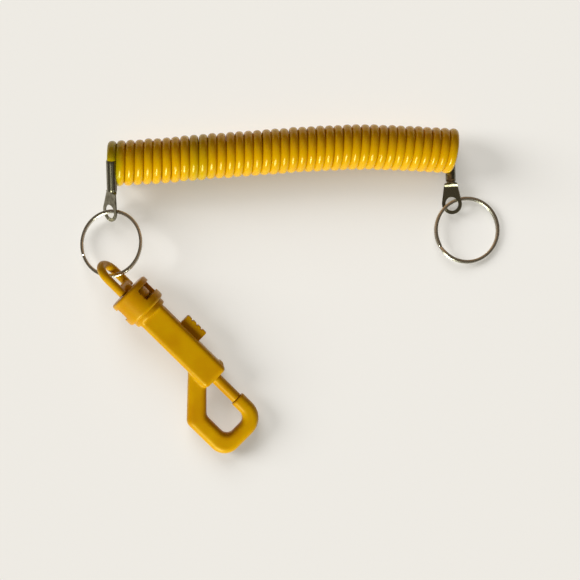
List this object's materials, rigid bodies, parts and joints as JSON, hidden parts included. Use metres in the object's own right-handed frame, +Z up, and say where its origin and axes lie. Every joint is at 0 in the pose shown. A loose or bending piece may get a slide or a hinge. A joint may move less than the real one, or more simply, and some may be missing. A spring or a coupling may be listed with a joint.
{
  "type": "coiled tether with snap hook",
  "caption": "Springy coiled cord with a crimped eye terminal and a split ring at each end, and a swivel snap hook with a thumb bolt on one ring.",
  "frame": {"origin": "on the surface the tether lies on, under the middle of the terminals, rings and snap", "axes": "+X along the coil towards the free ring, +Y across the coil away from the snap, +Z up"},
  "size_m": [0.1563, 0.1214, 0.0174],
  "materials": {
    "cord": "glossy polyurethane",
    "terminal_steel": "plain stamped steel",
    "ring_steel": "nickel plated",
    "snap_plastic": "moulded yellow",
    "spring_steel": "drawn wire"
  },
  "bodies": {
    "tether": {"coil_cord": "cord", "left_end_turn": "cord", "left_terminal": "terminal_steel"},
    "right_end": {"right_end_turn": "cord", "right_terminal": "terminal_steel"},
    "right_ring": {"right_split_ring": "ring_steel"},
    "left_ring": {"left_split_ring": "ring_steel"},
    "eye": {"swivel_eye": "snap_plastic"},
    "snap": {"swivel_cap": "snap_plastic", "hook_body": "snap_plastic", "bolt_spring": "spring_steel"},
    "bolt": {"trigger_bolt": "snap_plastic"}
  },
  "joints": [
    {"name": "coil_stretch", "type": "slide", "parent": "tether", "child": "right_end", "axis": [0.9991, 0.0425, 0], "range_m": [0, 0.35], "stiffness_N_per_m": 5, "springref_m": -0.02, "deforming": ["coil_cord"]},
    {"name": "left_ring_swing", "type": "hinge", "parent": "tether", "child": "left_ring", "pos_m": [-0.06694, 0.03376, 0.00573], "axis": [-0.9333, -0.0695, -0.3524], "range_deg": [-90, 75]},
    {"name": "right_ring_swing", "type": "hinge", "parent": "right_end", "child": "right_ring", "pos_m": [0.05955, 0.03742, 0.00254], "axis": [-0.8577, -0.5094, 0.0697], "range_deg": [-75, 100]},
    {"name": "eye_slide", "type": "hinge", "parent": "left_ring", "child": "eye", "pos_m": [-0.0665, 0.022, 0.00689], "axis": [-0.3573, 0.0785, 0.9307], "range_deg": [-100, 50]},
    {"name": "snap_swivel", "type": "hinge", "parent": "eye", "child": "snap", "pos_m": [-0.06037, 0.00461, 0.00945], "axis": [0.7046, -0.7046, -0.0837], "continuous": true},
    {"name": "bolt_slide", "type": "slide", "parent": "snap", "child": "bolt", "axis": [-0.7046, 0.7046, 0.0837], "range_m": [0, 0.008], "stiffness_N_per_m": 200, "springref_m": -0.005, "deforming": ["bolt_spring"]}
  ]
}
